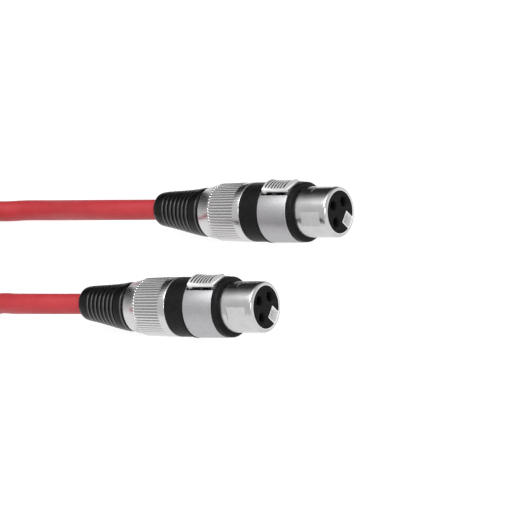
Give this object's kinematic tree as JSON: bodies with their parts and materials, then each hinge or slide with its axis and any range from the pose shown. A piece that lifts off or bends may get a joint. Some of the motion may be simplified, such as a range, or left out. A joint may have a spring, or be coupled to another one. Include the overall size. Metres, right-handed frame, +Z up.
{
  "type": "xlr microphone cable",
  "caption": "Coiled red audio cable with a latching female XLR connector on each end, lying side by side.",
  "frame": {"origin": "on the surface that the cable lies on, centred under the box of the two connectors without the cord", "axes": "+X along both connectors, out of their mating faces; +Y from connector b to connector a; +Z up"},
  "size_m": [0.2311, 0.095, 0.02],
  "materials": {
    "nickel": "satin nickel plate, polished on the nose",
    "black_plastic": "satin moulded",
    "insulator": "matte moulded",
    "rubber": "matte with fine ribs",
    "contact_metal": "bright silver plate",
    "spring_steel": "plain",
    "chuck_plastic": "matte moulded",
    "cable_jacket": "satin red jacket",
    "core_white": "satin",
    "core_blue": "satin",
    "copper": "bare copper",
    "tie_fabric": "hook-and-loop pile"
  },
  "bodies": {
    "cable_assembly": {"shell_a": "nickel", "front_ring_a": "black_plastic", "rear_ring_a": "black_plastic", "insert_a": "insulator", "contact_1_a": "contact_metal", "contact_2_a": "contact_metal", "contact_3_a": "contact_metal", "ground_contact_a": "spring_steel", "latch_pin_a": "spring_steel", "latch_spring_a": "spring_steel", "chuck_a": "chuck_plastic", "cable_end_a": "cable_jacket", "core_2_a": "core_white", "core_3_a": "core_blue", "drain_wire_a": "copper", "cable_lead_a": "cable_jacket", "shell_b": "nickel", "front_ring_b": "black_plastic", "rear_ring_b": "black_plastic", "insert_b": "insulator", "contact_1_b": "contact_metal", "contact_2_b": "contact_metal", "contact_3_b": "contact_metal", "ground_contact_b": "spring_steel", "latch_pin_b": "spring_steel", "latch_spring_b": "spring_steel", "chuck_b": "chuck_plastic", "cable_end_b": "cable_jacket", "core_2_b": "core_white", "core_3_b": "core_blue", "drain_wire_b": "copper", "cable_lead_b": "cable_jacket", "cable_coil": "cable_jacket", "cable_tie": "tie_fabric"},
    "latch_a": {"latch_a": "nickel"},
    "boot_a": {"boot_a": "rubber"},
    "back_nut_a": {"back_nut_a": "nickel"},
    "latch_b": {"latch_b": "nickel"},
    "boot_b": {"boot_b": "rubber"},
    "back_nut_b": {"back_nut_b": "nickel"}
  },
  "joints": [
    {"name": "latch_press_a", "type": "hinge", "parent": "cable_assembly", "child": "latch_a", "pos_m": [0.0124, 0.02541, 0.01584], "axis": [0, 0.9903, -0.1392], "range_deg": [0, 4], "stiffness_Nm_per_rad": 0.4, "springref_deg": -2.86},
    {"name": "boot_slide_a", "type": "slide", "parent": "cable_assembly", "child": "boot_a", "axis": [-1, 0, 0], "range_m": [0, 0.005]},
    {"name": "back_nut_turn_a", "type": "hinge", "parent": "boot_a", "child": "back_nut_a", "pos_m": [-0.0063, 0.02455, 0.0097], "axis": [-1, 0, 0], "range_deg": [0, 1800]},
    {"name": "latch_press_b", "type": "hinge", "parent": "cable_assembly", "child": "latch_b", "pos_m": [0.0124, -0.02369, 0.01584], "axis": [0, 0.9903, -0.1392], "range_deg": [0, 4], "stiffness_Nm_per_rad": 0.4, "springref_deg": -2.86},
    {"name": "boot_slide_b", "type": "slide", "parent": "cable_assembly", "child": "boot_b", "axis": [-1, 0, 0], "range_m": [0, 0.005]},
    {"name": "back_nut_turn_b", "type": "hinge", "parent": "boot_b", "child": "back_nut_b", "pos_m": [-0.0063, -0.02455, 0.0097], "axis": [-1, 0, 0], "range_deg": [0, 1800]}
  ],
  "couplings": [
    {"joint": "back_nut_turn_a", "follows": "boot_slide_a", "rad_per_m": 6283.2},
    {"joint": "back_nut_turn_b", "follows": "boot_slide_b", "rad_per_m": 6283.2}
  ]
}
